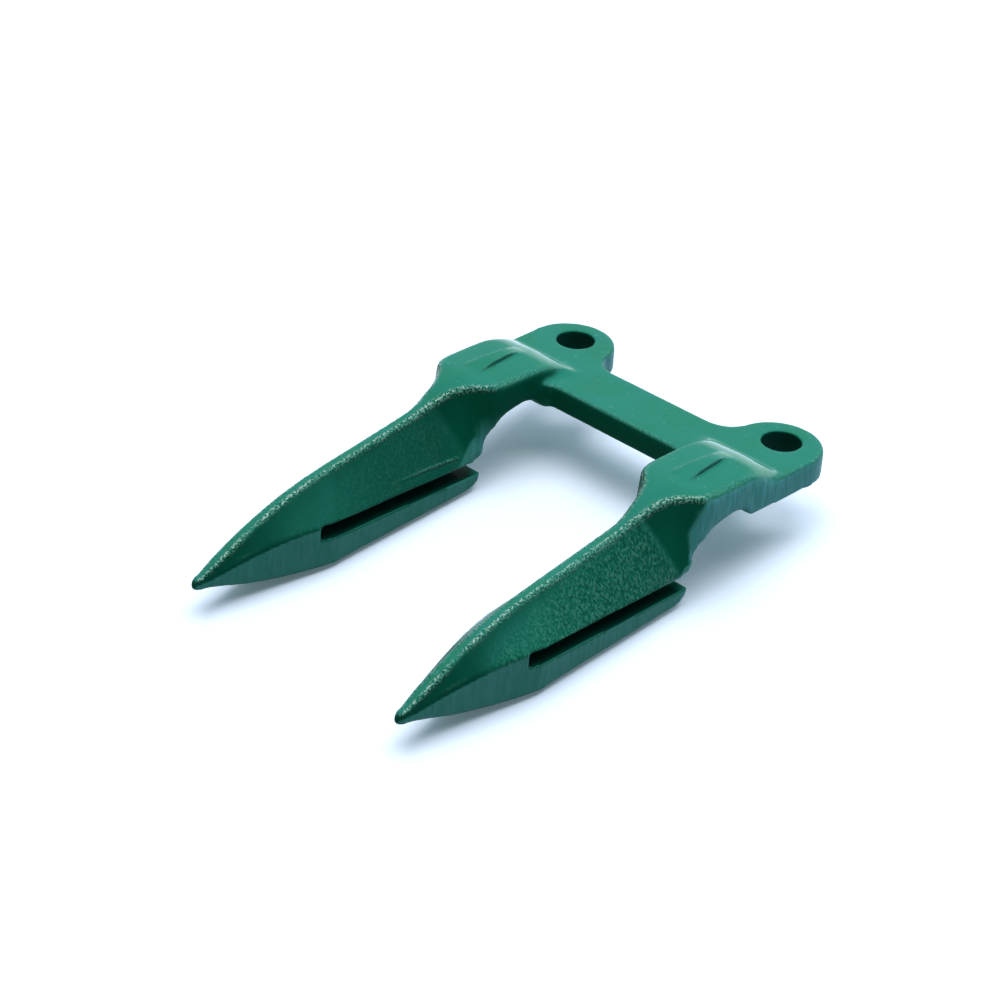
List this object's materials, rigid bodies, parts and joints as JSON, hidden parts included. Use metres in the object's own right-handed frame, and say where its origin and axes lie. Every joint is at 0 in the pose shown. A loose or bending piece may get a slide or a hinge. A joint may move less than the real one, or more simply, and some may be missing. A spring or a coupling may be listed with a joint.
{
  "type": "mower knife guard",
  "caption": "Forged knife guard for a mower cutter bar: pointed fingers slotted for the knife, joined by a cross bar with drilled ears, painted green.",
  "frame": {"origin": "midway between the two bolt holes, on the flat seat under the ears", "axes": "+X along the cross bar, -Y towards the finger tips, +Z along the bolt holes from the seat to the raised pads"},
  "size_m": [0.1016, 0.1517, 0.0357],
  "materials": {
    "green_paint": "glossy enamel over a rough forged skin"
  },
  "bodies": {
    "root": {"knife_guard": "green_paint"}
  },
  "joints": []
}
